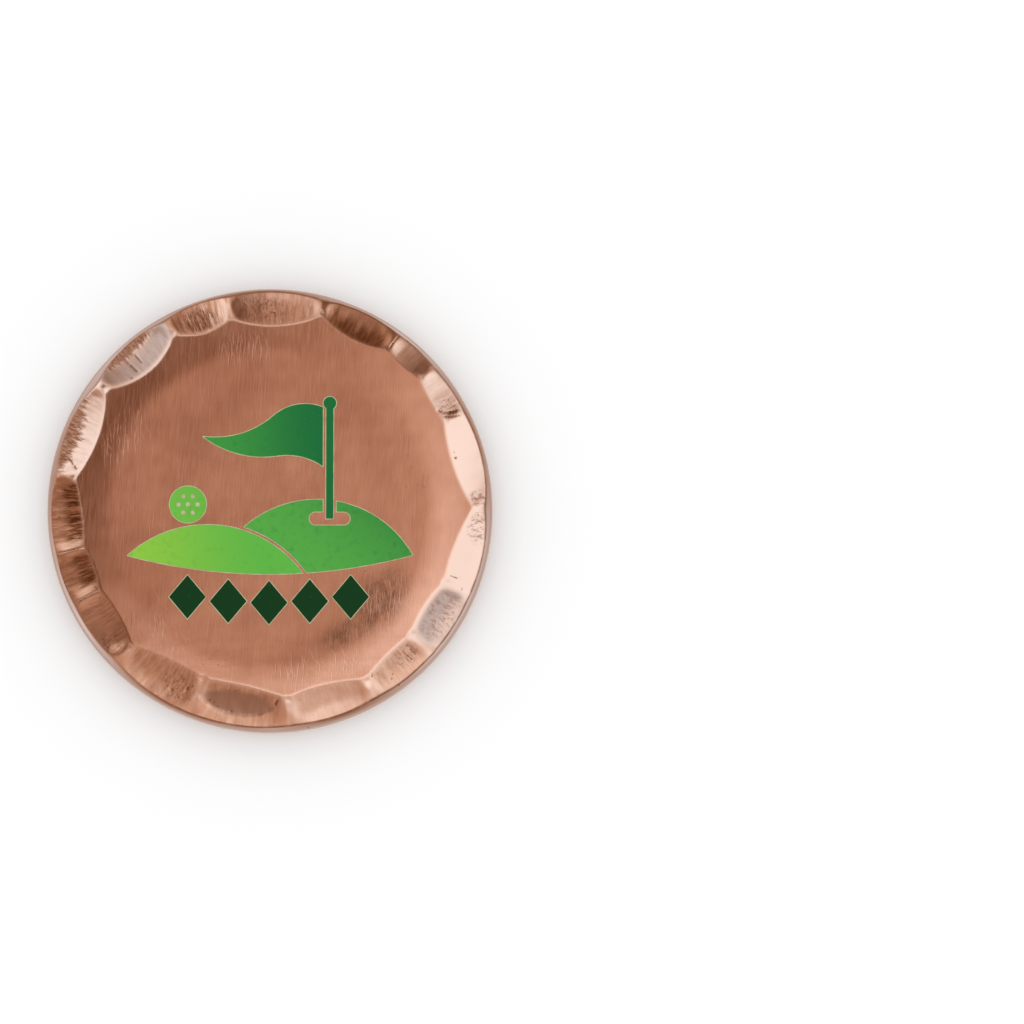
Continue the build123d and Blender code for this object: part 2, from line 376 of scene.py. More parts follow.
def face_relief(x, y):
    """The height of the struck face over each point, and what the copper's finish needs."""
    radius = np.hypot(x, y)
    sunk = shoulder(radius)
    marks = np.array([strike.height(x, y) for strike in STRIKES]) - sunk - STRIKE_SINK
    field = FACE_Z - sunk + unevenness(x, y)

    share = np.exp(-(marks - marks.min(axis=0)) / RIDGE_BLEND)
    share /= share.sum(axis=0)
    clean_and_highlight, grey, drag, lip_highlight_strength = np.tensordot(np.array(MARK_LOOKS).T[:4], share, axes=1)
    bank = (np.array([strike.bank_share(x, y) for strike in STRIKES]) * share).sum(axis=0)

    wear_and_highlight_top = ridge_wear_and_highlight(x, y)
    near_rim = smoothstep(0.93 * RADIUS, 0.985 * RADIUS, radius)
    hollow = soft_lowest(marks, RIDGE_BLEND * (1 + 2.5 * wear_and_highlight_top + 3.0 * near_rim))
    depth = field - hollow
    inside = smoothstep(-0.01 * MM, 0.03 * MM, depth)

    torn = patch(x, y, TORN_PATCHES)
    dull = patch(x, y, DULL_PATCHES)
    crack = cracks(x, y)
    grain = GRAIN_HEIGHT * radial_grain(x, y, GRAIN_SEED) * smoothstep(0.0, 0.2 * MM, depth)
    grain = grain * (drag + 0.9 * smoothstep(0.0, 0.2, torn))
    beaten = BEATEN_HEIGHT * waves(x, y, 1.3 * MM, BEATEN_SEED)
    beaten = beaten * smoothstep(0.0, 0.15 * MM, depth) * (1.25 - clean_and_highlight)
    sunk_patch = DULL_SINK * smoothstep(0.0, 0.25, dull) + TORN_SINK * smoothstep(0.0, 0.3, torn)
    floors = np.array([field, hollow + grain + beaten - sunk_patch])
    struck = soft_lowest(floors, FIELD_BLEND) - CRACK_DEPTH * crack
    side = side_height(x, radius)
    height = soft_lowest(np.array([struck, side]), SIDE_BLEND)

    ordered = np.sort(marks, axis=0)
    narrow_top = 0.6 * np.exp(-(((ordered[1] - ordered[0]) / (0.05 * MM)) ** 2))
    # Painted shade along the crease: full at the front, faint at the left, as the light falls.
    near_front = smoothstep(2 * MM, -8 * MM, y)
    near_left = smoothstep(-5 * MM, -13 * MM, x)
    crease_shading = (0.75 + 0.25 * near_front) * (1 - 0.85 * near_left)
    masks = {
        "mark": inside,
        # Where the ridge tops get their painted highlight, partly wear.
        "ridge": inside * np.maximum(narrow_top, wear_and_highlight_top),
        # Painted highlight: a pale band just inside each mark's inner edge, as strong as that
        # mark's entry sets.
        "lip_highlight": np.exp(-(((depth - 0.015 * MM) / (0.050 * MM)) ** 2)) * lip_highlight_strength,
        "outer": smoothstep(0.10 * MM, 0.50 * MM, depth),
        "bank": bank * inside,
        "crease": np.exp(-(((side - struck) / (0.09 * MM)) ** 2)) * crease_shading,
        "side": smoothstep(-0.03 * MM, 0.03 * MM, struck - side),
        "clean_and_highlight": clean_and_highlight,
        "grey": grey,
        "drag": drag,
        "torn": torn,
        "dull": dull,
        "mottled": smoothstep(0.0, 0.5, patch(x, y, MOTTLED_PATCHES)),
        "scratched": smoothstep(0.0, 0.6, patch(x, y, SCRATCHED_PATCHES)),
        "stained": smoothstep(0.0, 0.7, patch(x, y, STAINED_PATCHES)),
        "crack": crack,
    }
    return np.minimum(height, FACE_Z), masks


# ---- The blank's rings: from the middle of the face, over the side, to the back's middle ----

def face_rings():
    """Radius and segment count of each ring of the face, outwards."""
    rings = []
    for start, end, spacing, segments in FACE_ZONES:
        rings += [(radius * MM, segments) for radius in np.arange(start, end, spacing)]
    first_turn = math.degrees(math.asin(1 - ROLL_START / ROLL_WIDTH))
    for turn in np.linspace(first_turn, 88, 18):
        inset = ROLL_WIDTH * (1 - math.sin(math.radians(turn)))
        rings.append((RADIUS - inset, RIM_SEGMENTS))
    return rings


def wall_rings():
    """Radius, height and segment count of each ring of the side and the back."""
    wall_top = FACE_Z - ROLL_HEIGHT
    rings = [(RADIUS, z, RIM_SEGMENTS) for z in np.linspace(wall_top, BACK_ROUND, 6)]
    for turn in np.linspace(10, 90, 8):
        angle = math.radians(turn)
        radius = RADIUS - BACK_ROUND * (1 - math.cos(angle))
        rings.append((radius, BACK_ROUND * (1 - math.sin(angle)), RIM_SEGMENTS))
    for radii, segments in BACK_ZONES:
        rings += [(radius * MM, 0.0, segments) for radius in radii]
    return rings


def ring_points(radius, count):
    """Points evenly round a circle."""
    angle = np.arange(count) * 2 * math.pi / count
    return radius * np.cos(angle), radius * np.sin(angle)


def join_rings(first, first_count, second, second_count):
    """Faces between two rings of equal counts, or one of which has twice the other's."""
    faces = []
    if first_count == second_count:
        for j in range(first_count):
            k = (j + 1) % first_count
            faces.append((first + j, second + j, second + k, first + k))
    elif second_count == 2 * first_count:
        for j in range(first_count):
            k, a = (j + 1) % first_count, 2 * j
            b, c = a + 1, (a + 2) % second_count
            faces.append((first + j, second + a, second + b))
            faces.append((first + j, second + b, first + k))
            faces.append((second + b, second + c, first + k))
    else:
        for j in range(second_count):
            k, a = (j + 1) % second_count, 2 * j
            b, c = a + 1, (a + 2) % first_count
            faces.append((first + a, second + j, first + b))
            faces.append((first + b, second + j, second + k))
            faces.append((first + b, second + k, first + c))
    return faces


def mesh_object(name, points, faces, masks):
    """An object of these points and faces, smooth shaded, with a float attribute per mask."""
    mesh = bpy.data.meshes.new(name)
    mesh.from_pydata(points.tolist(), [], faces)
    mesh.update()
    mesh.shade_smooth()
    for mask, values in masks.items():
        layer = mesh.attributes.new(mask, "FLOAT", "POINT")
        layer.data.foreach_set("value", np.asarray(values, dtype=np.float32))
    piece = bpy.data.objects.new(name, mesh)
    bpy.context.scene.collection.objects.link(piece)
    return piece


def build_blank():
    """The struck disc as one closed mesh."""
    x_parts, y_parts, z_parts, starts, counts = [], [], [], [], []
    total = 0

    def add_ring(x, y, z):
        nonlocal total
        starts.append(total)
        counts.append(len(x))
        x_parts.append(x)
        y_parts.append(y)
        z_parts.append(z)
        total += len(x)

    for radius, count in face_rings():
        x, y = ring_points(radius, count)
        add_ring(x, y, np.full(count, np.nan))
    face_end = total
    for radius, height, count in wall_rings():
        x, y = ring_points(radius, count)
        add_ring(x, y, np.full(count, height))

    x, y, z = np.concatenate(x_parts), np.concatenate(y_parts), np.concatenate(z_parts)
    height, masks = face_relief(x[:face_end], y[:face_end])
    z[:face_end] = height
    rest = total - face_end
    values = {name: np.concatenate([mask, np.zeros(rest)]) for name, mask in masks.items()}
    values["side"][face_end:] = 1.0
    values["clean_and_highlight"][face_end:] = 0.8
    back = np.concatenate([np.zeros(face_end), smoothstep(0.5 * MM, 0.1 * MM, z[face_end:])])
    values["back"] = back

    faces = []
    for i in range(len(starts) - 1):
        faces += join_rings(starts[i], counts[i], starts[i + 1], counts[i + 1])
    points = np.stack([x, y, z], axis=1)
    top_middle, back_middle = total, total + 1
    points = np.vstack([points, [0, 0, height[:counts[0]].mean()], [0, 0, 0]])
    for j in range(counts[0]):
        faces.append((top_middle, starts[0] + j, starts[0] + (j + 1) % counts[0]))
    for j in range(counts[-1]):
        faces.append((back_middle, starts[-1] + (j + 1) % counts[-1], starts[-1] + j))
    ends = {"back": (0.0, 1.0)}
    for name in values:
        values[name] = np.append(values[name], ends.get(name, (0.0, 0.0)))
    return mesh_object("struck_blank", points, faces, values)


# ---- Materials ----

class Nodes:
    """A node tree, built a call at a time."""

    def __init__(self, tree):
        self.tree = tree

    def new(self, kind, **settings):
        node = self.tree.nodes.new(kind)
        for key, value in settings.items():
            setattr(node, key, value)
        return node

    def put(self, socket, value):
        """Feeds a socket from another one, or sets it to a constant."""
        if isinstance(value, bpy.types.NodeSocket):
            self.tree.links.new(value, socket)
        else:
            socket.default_value = value

    def math(self, operation, first, second=0.0, clamp=False):
        node = self.new("ShaderNodeMath", operation=operation, use_clamp=clamp)
        self.put(node.inputs[0], first)
        self.put(node.inputs[1], second)
        return node.outputs[0]

    def plus(self, first, *others):
        for other in others:
            first = self.math("ADD", first, other)
        return first

    def minus(self, first, second):
        return self.math("SUBTRACT", first, second)

    def times(self, first, *others):
        for other in others:
            first = self.math("MULTIPLY", first, other)
        return first

    def highest(self, first, *others):
        for other in others:
            first = self.math("MAXIMUM", first, other)
        return first

    def vector(self, operation, first, second=(0.0, 0.0, 0.0)):
        node = self.new("ShaderNodeVectorMath", operation=operation)
        self.put(node.inputs[0], first)
        self.put(node.inputs[1], second)
        is_number = operation in ("LENGTH", "DOT_PRODUCT")
        return node.outputs["Value"] if is_number else node.outputs[0]

    def scaled(self, vector, x, y, z):
        return self.vector("MULTIPLY", vector, (x, y, z))

    def turned(self, vector, degrees):
        node = self.new("ShaderNodeVectorRotate", rotation_type="Z_AXIS")
        self.put(node.inputs["Vector"], vector)
        node.inputs["Angle"].default_value = math.radians(degrees)
        return node.outputs[0]

    def combine(self, x, y, z):
        node = self.new("ShaderNodeCombineXYZ")
        for socket, value in zip(node.inputs, (x, y, z)):
            self.put(socket, value)
        return node.outputs[0]

    def noise(self, vector, detail=3.0, roughness=0.5):
        node = self.new("ShaderNodeTexNoise", noise_dimensions="3D")
        self.put(node.inputs["Vector"], vector)
        node.inputs["Scale"].default_value = 1.0
        node.inputs["Detail"].default_value = detail
        node.inputs["Roughness"].default_value = roughness
        return node.outputs[0]

    def cells(self, vector):
        """The distance to the nearest of many scattered points."""
        node = self.new("ShaderNodeTexVoronoi", feature="F1")
        self.put(node.inputs["Vector"], vector)
        node.inputs["Scale"].default_value = 1.0
        return node.outputs["Distance"]

    def step(self, value, low, high, bottom=0.0, top=1.0):
        """Runs smoothly from bottom to top as value goes from low to high."""
        node = self.new("ShaderNodeMapRange", interpolation_type="SMOOTHSTEP")
        ends = {"From Min": low, "From Max": high, "To Min": bottom, "To Max": top}
        for name, number in ends.items():
            node.inputs[name].default_value = number
        self.put(node.inputs["Value"], value)
        return node.outputs[0]

    def mix(self, share, first, second):
        """A colour between two others."""
        node = self.new("ShaderNodeMix", data_type="RGBA")
        self.put(node.inputs["Factor"], share)
        for socket, colour in ((node.inputs[6], first), (node.inputs[7], second)):
            self.put(socket, (*colour, 1.0) if isinstance(colour, tuple) else colour)
        return node.outputs[2]

    def blend(self, share, first, second):
        """A number between two others."""
        node = self.new("ShaderNodeMix", data_type="FLOAT")
        sockets = (node.inputs[0], node.inputs[2], node.inputs[3])
        for socket, value in zip(sockets, (share, first, second)):
            self.put(socket, value)
        return node.outputs[0]

    def mask(self, name):
        """A number that the mesh carries at each of its points."""
        return self.new("ShaderNodeAttribute", attribute_name=name).outputs["Fac"]

    def bump(self, height, distance):
        node = self.new("ShaderNodeBump")
        node.inputs["Strength"].default_value = 1.0
        node.inputs["Distance"].default_value = distance
        self.put(node.inputs["Height"], height)
        return node.outputs[0]


class Material(Nodes):
    """The nodes of a new material, with its shader and the place on the object."""

    def __init__(self, name):
        self.material = bpy.data.materials.new(name)
        self.material.use_nodes = True
        super().__init__(self.material.node_tree)
        self.shader = self.tree.nodes["Principled BSDF"]
        self.place = self.new("ShaderNodeTexCoord").outputs["Object"]


# The field.
FIELD_COPPER = (0.88, 0.475, 0.335)
STAINED_COPPER = (0.70, 0.35, 0.225)
STAIN_BROWN = (0.34, 0.17, 0.105)
# The marks.
# Pale copper, also the colour of the painted highlights on the ridges, the marks' inner edges and
# the palest marks.
PALE_COPPER_AND_HIGHLIGHT = (0.95, 0.66, 0.54)
CLEAN_COPPER = (0.92, 0.55, 0.40)
GREY_COPPER = (0.47, 0.365, 0.33)
DULL_COPPER = (0.38, 0.21, 0.15)
ORANGE_OXIDE = (0.72, 0.36, 0.22)
BROWN_OXIDE = (0.42, 0.165, 0.07)
MOTTLE_BROWN = (0.36, 0.175, 0.115)
SCAR_BROWN = (0.24, 0.085, 0.038)
# Painted shade in the crease below the marks.
CREASE_SHADE_BROWN = (0.24, 0.09, 0.04)
DARK_OXIDE = (0.13, 0.042, 0.016)
# The side and the back.
RIM_COPPER = (0.66, 0.475, 0.42)
RIM_SHADE = (0.61, 0.425, 0.37)
BACK_COPPER = (0.93, 0.60, 0.47)
BACK_SHADE = (0.82, 0.48, 0.36)

# What the blank's mesh says about its copper at each point, as face_relief works it out.
MASKS = (
    "mark", "ridge", "lip_highlight", "outer", "bank", "crease", "side", "back", "clean_and_highlight", "grey", "drag",
    "torn", "dull", "mottled", "scratched", "stained", "crack",
)
COPPER_RELIEF = 0.006 * MM  # how high the relief finer than the mesh is
SIDE_ROUGHNESS = 0.12


def per_mm(nodes, x, y, z=1.0):
    """The place on the object in millimetres, stretched by these factors."""
    return nodes.scaled(nodes.place, x / MM, y / MM, z / MM)


def radial_place(nodes, around, along):
    """A place that changes `around` times a millimetre along the rim, `along` outwards."""
    flat = nodes.scaled(nodes.place, 1.0, 1.0, 0.0)
    length = nodes.vector("LENGTH", flat)
    direction = nodes.vector("NORMALIZE", flat)
    across = nodes.scaled(direction, around * RADIUS / MM, around * RADIUS / MM, 0.0)
    outwards = nodes.combine(0.0, 0.0, nodes.times(length, along / MM))
    return nodes.vector("ADD", across, outwards)


def hairlines(nodes, degrees, across, along, low, high):
    """Sparse fine lines in one direction."""
    place = nodes.turned(nodes.place, degrees)
    lines = nodes.noise(nodes.scaled(place, across / MM, along / MM, 1.0), detail=2.0)
    return nodes.step(lines, low, high)


def field_colour(nodes, masks):
    """Copper with clouds, a brown smudge, faint ripples and scratches, and the scratches."""
    clouds = nodes.noise(per_mm(nodes, 0.16, 0.12), detail=4.0, roughness=0.55)
    mottle = nodes.noise(per_mm(nodes, 1.1, 0.5), detail=4.0, roughness=0.6)
    field = nodes.mix(nodes.step(clouds, 0.40, 0.70, 0.0, 0.6), FIELD_COPPER, STAINED_COPPER)
    field = nodes.mix(nodes.step(mottle, 0.45, 0.75, 0.0, 0.30), field, STAINED_COPPER)

    wiped = nodes.noise(per_mm(nodes, 11.0, 1.6), detail=4.0, roughness=0.7)
    patchy = nodes.noise(per_mm(nodes, 1.3, 1.0), detail=5.0, roughness=0.6)
    smudge = nodes.times(
        nodes.step(wiped, 0.38, 0.62, 0.50, 1.0),
        nodes.step(patchy, 0.32, 0.62, 0.45, 1.0),
        masks["stained"],
    )
    field = nodes.mix(smudge, field, STAIN_BROWN)

    ripples = nodes.noise(per_mm(nodes, 0.45, 1.7), detail=5.0, roughness=0.65)
    up_the_field = nodes.vector("DOT_PRODUCT", nodes.place, (0.0, 1 / RADIUS, 0.0))
    low_down = nodes.step(up_the_field, -0.40, -0.68)
    ripples = nodes.times(nodes.step(ripples, 0.42, 0.66, 0.0, 0.34), low_down)
    field = nodes.mix(ripples, field, STAINED_COPPER)

    fine = nodes.highest(
        hairlines(nodes, 3, 14, 0.30, 0.63, 0.72),
        hairlines(nodes, -24, 12, 0.28, 0.66, 0.74),
    )
    deep = nodes.highest(
        hairlines(nodes, 4, 9.0, 0.40, 0.60, 0.68),
        hairlines(nodes, -9, 10.0, 0.55, 0.62, 0.70),
        hairlines(nodes, -32, 9.0, 0.50, 0.64, 0.72),
    )
    scratches = nodes.highest(nodes.times(fine, 0.35), nodes.times(deep, masks["scratched"]))
    return nodes.mix(nodes.times(scratches, 0.38), field, PALE_COPPER_AND_HIGHLIGHT), scratches


def struck_colour(nodes, masks, streaks, uneven):
    """Fresh or oxidised copper, dragged and torn by the hammer, with its tarnish and its scars; a
    mark's paleness is partly painted highlight, its darkness partly painted shade, and the ridge
    tops carry a painted highlight.
    """
    clean_and_highlight, drag, outer = masks["clean_and_highlight"], masks["drag"], masks["outer"]
    teeth = nodes.times(nodes.minus(streaks, 0.5), 2.0)
    # Partly oxide, partly painted shade on the marks that are set dark.
    oxide_and_shade = nodes.minus(1.0, clean_and_highlight)
    dragged = nodes.times(teeth, nodes.times(drag, 1.4))
    tarnish = nodes.times(uneven, nodes.step(oxide_and_shade, 0.0, 0.35, 0.25, 1.0))
    rust_and_shade = nodes.math("ADD", nodes.plus(oxide_and_shade, dragged), tarnish, clamp=True)
    scar = nodes.step(nodes.plus(masks["torn"], nodes.times(teeth, 0.60)), 0.05, 0.35)
    rust_and_shade = nodes.highest(rust_and_shade, nodes.times(scar, nodes.step(streaks, 0.35, 0.65, 0.35, 1.0)))
    burnished = nodes.minus(1.0, nodes.times(masks["bank"], 0.85))
    rust_and_shade = nodes.times(rust_and_shade, burnished)

    # Partly polished copper, partly painted highlight on the marks that are set palest.
    polished_and_highlight = nodes.mix(nodes.step(clean_and_highlight, 0.5, 0.95), CLEAN_COPPER, PALE_COPPER_AND_HIGHLIGHT)
    inner_grey = nodes.times(masks["grey"], nodes.step(outer, 0.3, 1.0, 1.0, 0.4))
    polished_and_highlight = nodes.mix(inner_grey, polished_and_highlight, GREY_COPPER)
    struck = nodes.mix(rust_and_shade, polished_and_highlight, nodes.mix(outer, BROWN_OXIDE, ORANGE_OXIDE))

    deep = nodes.times(drag, oxide_and_shade, nodes.step(outer, 0.3, 1.0, 1.2, 0.5))
    deep = nodes.math("MULTIPLY", nodes.step(streaks, 0.40, 0.60), deep, clamp=True)
    struck = nodes.mix(nodes.times(deep, burnished), struck, DARK_OXIDE)

    fibres = nodes.noise(radial_place(nodes, 9.0, 2.2), detail=5.0, roughness=0.75)
    fibres = nodes.times(nodes.step(fibres, 0.58, 0.42, 0.15, 0.85), scar)
    struck = nodes.mix(fibres, struck, SCAR_BROWN)

    blotch = nodes.step(nodes.plus(masks["dull"], nodes.times(uneven, 0.6)), 0.0, 0.32)
    struck = nodes.mix(nodes.times(blotch, 0.8), struck, DULL_COPPER)

    freckles = nodes.noise(radial_place(nodes, 4.5, 2.6), detail=6.0, roughness=0.78)
    freckles = nodes.times(nodes.step(freckles, 0.47, 0.60), masks["mottled"])
    struck = nodes.mix(nodes.times(freckles, 0.75), struck, MOTTLE_BROWN)
    # Painted highlight, partly wear: pale copper along the ridge tops between marks.
    return nodes.mix(nodes.times(masks["ridge"], 0.9), struck, PALE_COPPER_AND_HIGHLIGHT), rust_and_shade, scar


def edge_colour(nodes, masks, colour):
    """The side and back with their smooth polish, and painted shade along the crease below the
    marks, over a colour.
    """
    edge = nodes.noise(per_mm(nodes, 0.45, 0.45, 1.2), detail=5.0, roughness=0.6)
    rim = nodes.mix(nodes.step(edge, 0.30, 0.70), RIM_COPPER, RIM_SHADE)
    colour = nodes.mix(masks["side"], colour, rim)
    polish = nodes.noise(per_mm(nodes, 0.07, 0.04), detail=2.0)
    smooth = nodes.mix(nodes.step(polish, 0.30, 0.75), BACK_COPPER, BACK_SHADE)
    colour = nodes.mix(masks["back"], colour, smooth)
    # Painted shade: a broken dark line along the crease.
    broken = nodes.step(nodes.noise(radial_place(nodes, 1.5, 2.0)), 0.3, 0.6, 0.6, 1.0)
    return nodes.mix(nodes.times(masks["crease"], broken), colour, CREASE_SHADE_BROWN)


def dark_spots(nodes, masks):
    """The ragged cracks, and specks of dark oxidation that are mostly in the marks."""
    ragged = nodes.noise(per_mm(nodes, 4.5, 4.5), detail=5.0, roughness=0.7)
    crack = nodes.plus(masks["crack"], nodes.times(nodes.minus(ragged, 0.5), 1.8))
    crack = nodes.step(crack, 0.45, 0.95)
    crowding = nodes.noise(per_mm(nodes, 0.35, 0.35), detail=1.0)
    size = nodes.step(crowding, 0.48, 0.68, 0.0, 0.13)
    speck = nodes.math("LESS_THAN", nodes.cells(per_mm(nodes, 1.6, 1.6, 0.0)), size)
    speck = nodes.times(speck, nodes.step(masks["mark"], 0, 1, 0.35, 0.8))
    return crack, speck


def copper_material():
    """Copper that is satin in the field and tarnished in the marks, with painted highlights on the
    ridges (which are also rubbed) and along the marks' inner edges, and painted shade in the
    crease.
    """
    nodes = Material("struck copper")
    masks = {name: nodes.mask(name) for name in MASKS}
    mark, ridge, side = masks["mark"], masks["ridge"], masks["side"]
    grain = nodes.noise(nodes.scaled(nodes.turned(nodes.place, 4), 9 / MM, 0.5 / MM, 1))
    streaks = nodes.noise(radial_place(nodes, 4.5, 0.8), detail=5.0, roughness=0.72)
    broad = nodes.noise(radial_place(nodes, 0.9, 0.9), detail=5.0, roughness=0.65)
    uneven = nodes.times(nodes.minus(broad, 0.5), 0.9)

    field, scratches = field_colour(nodes, masks)
    struck, rust_and_shade, scar = struck_colour(nodes, masks, streaks, uneven)
    crack, speck = dark_spots(nodes, masks)
    colour = nodes.mix(mark, field, struck)
    # Painted highlight: pale copper along the marks' inner edges.
    colour = nodes.mix(nodes.times(masks["lip_highlight"], 0.9), colour, PALE_COPPER_AND_HIGHLIGHT)
    colour = edge_colour(nodes, masks, colour)
    colour = nodes.mix(nodes.times(crack, 0.75), colour, DARK_OXIDE)
    colour = nodes.mix(nodes.times(speck, 0.7), colour, DARK_OXIDE)
    nodes.put(nodes.shader.inputs["Base Color"], colour)
    nodes.shader.inputs["Metallic"].default_value = 1.0

    satin = nodes.step(grain, 0.3, 0.7, 0.15, 0.20)
    rough = nodes.plus(
        0.18, nodes.times(rust_and_shade, 0.12), nodes.times(masks["grey"], 0.08), nodes.times(scar, 0.16)
    )
    roughness = nodes.blend(mark, satin, rough)
    roughness = nodes.minus(roughness, nodes.times(ridge, 0.03))
    roughness = nodes.blend(side, roughness, SIDE_ROUGHNESS)
    nodes.put(nodes.shader.inputs["Roughness"], roughness)

    # Relief finer than the mesh.
    outside_field = nodes.highest(mark, side, masks["back"])
    brushed = nodes.minus(nodes.times(grain, 0.3), nodes.times(scratches, 0.35))
    brushed = nodes.times(brushed, nodes.minus(1.0, outside_field))
    drag_depth = nodes.plus(nodes.times(masks["drag"], 1.5), nodes.times(scar, 1.8))
    dragged = nodes.times(streaks, drag_depth, mark)
    pitted = nodes.times(broad, mark)
    relief = nodes.plus(brushed, dragged, pitted)
    relief = nodes.minus(relief, nodes.highest(speck, crack))
    nodes.put(nodes.shader.inputs["Normal"], nodes.bump(relief, COPPER_RELIEF))
    return nodes.material


LIME = (0.24, 0.51, 0.045)
BALL_GREEN = (0.16, 0.48, 0.05)
MEADOW = (0.10, 0.42, 0.05)
GRASS = (0.08, 0.36, 0.05)
LEAF = (0.042, 0.28, 0.042)
BOTTLE = (0.005, 0.14, 0.032)
DEEP = (0.001, 0.037, 0.0055)
THIN_INK = (0.55, 0.60, 0.40)
PALE_FILM = (0.50, 0.52, 0.30)
STAINED_FILM = (0.42, 0.36, 0.20)
FILM_RELIEF = 0.002 * MM


def orange_peel(nodes):
    """Gives a printed film its very faint relief."""
    peel = nodes.noise(per_mm(nodes, 6.0, 6.0), detail=2.0)
    nodes.put(nodes.shader.inputs["Normal"], nodes.bump(peel, FILM_RELIEF))


def ink_material(name, start, end, first, last):
    """Semi-gloss ink, shading from one green to another between two places."""
    nodes = Material(name)
    way = Vector(end) - Vector(start)
    offset = nodes.vector("SUBTRACT", nodes.place, (start[0], start[1], 0.0))
    unit = way / way.length_squared
    along = nodes.vector("DOT_PRODUCT", offset, (unit.x, unit.y, 0.0))
    colour = nodes.mix(nodes.step(along, 0.0, 1.0), first, last)
    mottle = nodes.noise(per_mm(nodes, 2.2, 2.2), detail=4.0, roughness=0.6)
    darker = tuple(channel * 0.72 for channel in last)
    colour = nodes.mix(nodes.step(mottle, 0.5, 0.8, 0.0, 0.35), colour, darker)
    thin = nodes.math("LESS_THAN", nodes.cells(per_mm(nodes, 2.6, 2.6, 0.0)), 0.045)
    colour = nodes.mix(nodes.times(thin, 0.35), colour, THIN_INK)
    nodes.put(nodes.shader.inputs["Base Color"], colour)
    nodes.put(nodes.shader.inputs["Roughness"], nodes.step(mottle, 0.3, 0.7, 0.34, 0.46))
    nodes.shader.inputs["Specular IOR Level"].default_value = 0.15
    orange_peel(nodes)
    return nodes.material


def underbase_material():
    """The pale film under the ink, stained a little by the copper."""
    nodes = Material("pale underbase")
    stain = nodes.noise(per_mm(nodes, 1.5, 1.5), detail=4.0)
    colour = nodes.mix(nodes.step(stain, 0.35, 0.7), PALE_FILM, STAINED_FILM)
    nodes.put(nodes.shader.inputs["Base Color"], colour)
    nodes.put(nodes.shader.inputs["Roughness"], nodes.step(stain, 0.3, 0.7, 0.40, 0.55))
    orange_peel(nodes)
    return nodes.material


def paint_node(node, material):
    """Gives a node of the design this material in all its slots."""
    mesh = bpy.data.objects[node].data
    mesh.materials.clear()
    mesh.materials.append(material)


def paint_print():
    """The inks shade from lime at the lower left to dark green at the upper right."""
    low, high = (-10 * MM, -5 * MM), (9 * MM, 7 * MM)
    middle = (0.0, -3 * MM)
    pennant_tip, pennant_hoist = (-5 * MM, 5 * MM), (4 * MM, 6 * MM)
    paint_node("print_underbase", underbase_material())
    inks = {
        "front_hill_ink": ("lime ink", low, middle, LIME, MEADOW),
        "ball_ink": ("ball ink", low, high, BALL_GREEN, LEAF),
        "rear_hill_ink": ("green ink", middle, high, GRASS, BOTTLE),
        "pennant_ink": ("pennant ink", pennant_tip, pennant_hoist, LEAF, BOTTLE),
        "flagstick_ink": ("stick ink", middle, high, BOTTLE, BOTTLE),
        "diamond_row_ink": ("dark ink", low, middle, DEEP, DEEP),
    }
    for node, settings in inks.items():
        paint_node(node, ink_material(*settings))


# ---- The floor, the light and the camera ----

FLOOR_GAP = 0.02 * MM       # how far it lies below the disc, so that they share no plane
FLOOR_SIZE = 3.0            # half its width, in metres
FLOOR_WHITE = (0.92, 0.92, 0.92, 1.0)


def see_through_below(nodes):
    """Leaves the floor out when it is seen from below, so that the disc's back shows."""
    clear = nodes.new("ShaderNodeBsdfTransparent")
    side = nodes.new("ShaderNodeNewGeometry").outputs["Backfacing"]
    share = nodes.new("ShaderNodeMixShader")
    nodes.put(share.inputs[0], side)
    nodes.put(share.inputs[1], nodes.shader.outputs[0])
    nodes.put(share.inputs[2], clear.outputs[0])
    nodes.put(nodes.tree.nodes["Material Output"].inputs["Surface"], share.outputs[0])


def floor():
    """A plain pale floor, a hair below the disc."""
    mesh = bpy.data.meshes.new("floor")
    z = BLANK_LOW.z - FLOOR_GAP
    corners = [(x * FLOOR_SIZE, y * FLOOR_SIZE, z) for x, y in ((-1, -1), (1, -1), (1, 1), (-1, 1))]
    mesh.from_pydata(corners, [], [(0, 1, 2, 3)])
    piece = bpy.data.objects.new("floor", mesh)
    bpy.context.scene.collection.objects.link(piece)
    nodes = Material("pale floor")
    nodes.shader.inputs["Base Color"].default_value = FLOOR_WHITE
    nodes.shader.inputs["Roughness"].default_value = 0.9
    nodes.shader.inputs["Specular IOR Level"].default_value = 0.1
    mesh.materials.append(nodes.material)
    see_through_below(nodes)
    piece.visible_glossy = False


# The studio as the polished copper sees it. Straight overhead it brightens towards one
# azimuth. Lower down a ring of soft lights goes round the sky, and the studio is pale near
# the horizon and below it.
OVERHEAD_AZIMUTH = 318.0
# How bright it is overhead, by how far a direction leans towards that azimuth (as a sine).
OVERHEAD_LIGHT = [
    (-0.22, 0.03),
    (-0.175, 0.08),
    (-0.13, 0.20),
    (-0.10, 0.30),
    (-0.08, 0.45),
    (-0.065, 0.53),
    (-0.03, 0.59),
    (0.00, 0.65),
    (0.035, 0.73),
    (0.07, 1.01),
    (0.11, 1.14),
]
# Three soft lamps: the azimuth and the angle from the zenith of each, how far its full light
# reaches and where it ends, all in degrees, and its strength.
LAMPS = [
    (187.0, 8.0, 1.0, 4.8, 0.34),
    (85.0, 22.0, 8.0, 20.0, 0.12),
    (95.0, 21.5, 3.0, 7.5, 0.80),
]
EVEN_LIGHT = 1.10           # the white light on everything that isn't a mirror
SURROUND = 0.10             # how bright the studio is where nothing lights it
HORIZON = 0.55              # how much brighter it is from the horizon down
# The azimuth and zenith angle that the ring's upper edge goes round, and how far from there
# the ring begins and is full, all in degrees.
RING_MIDDLE = (160.0, 6.0)
RING_TOP = (15, 20)
